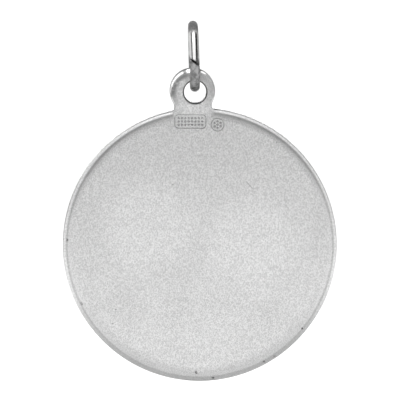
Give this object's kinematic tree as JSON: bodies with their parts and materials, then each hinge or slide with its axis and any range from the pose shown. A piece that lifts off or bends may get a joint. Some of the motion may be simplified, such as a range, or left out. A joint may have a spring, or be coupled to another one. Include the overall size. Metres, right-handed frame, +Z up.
{
  "type": "religious medal pendant",
  "caption": "Round silver medal with a raised rim, a low cross and rays on its front, a plain satin back, and a pierced tab that hangs on a soldered jump ring.",
  "frame": {"origin": "where a chain bears on the inside of the top of the jump ring, from which the pendant hangs", "axes": "+Z up along the hanging medal, +X to the right as the plain back is seen, -Y out of the plain back and +Y out of the front with its relief"},
  "size_m": [0.027, 0.007, 0.0357],
  "materials": {
    "satin_silver": "sterling silver with a fine blasted satin back",
    "bright_silver": "sterling silver wire, drawn and polished"
  },
  "bodies": {
    "ring": {"jump_ring": "bright_silver"},
    "medal": {"medal_disc": "satin_silver"}
  },
  "joints": [
    {"name": "medal_swing", "type": "hinge", "parent": "ring", "child": "medal", "pos_m": [0, 0, -0.00558], "axis": [0, 1, 0], "range_deg": [-115, 115]}
  ]
}
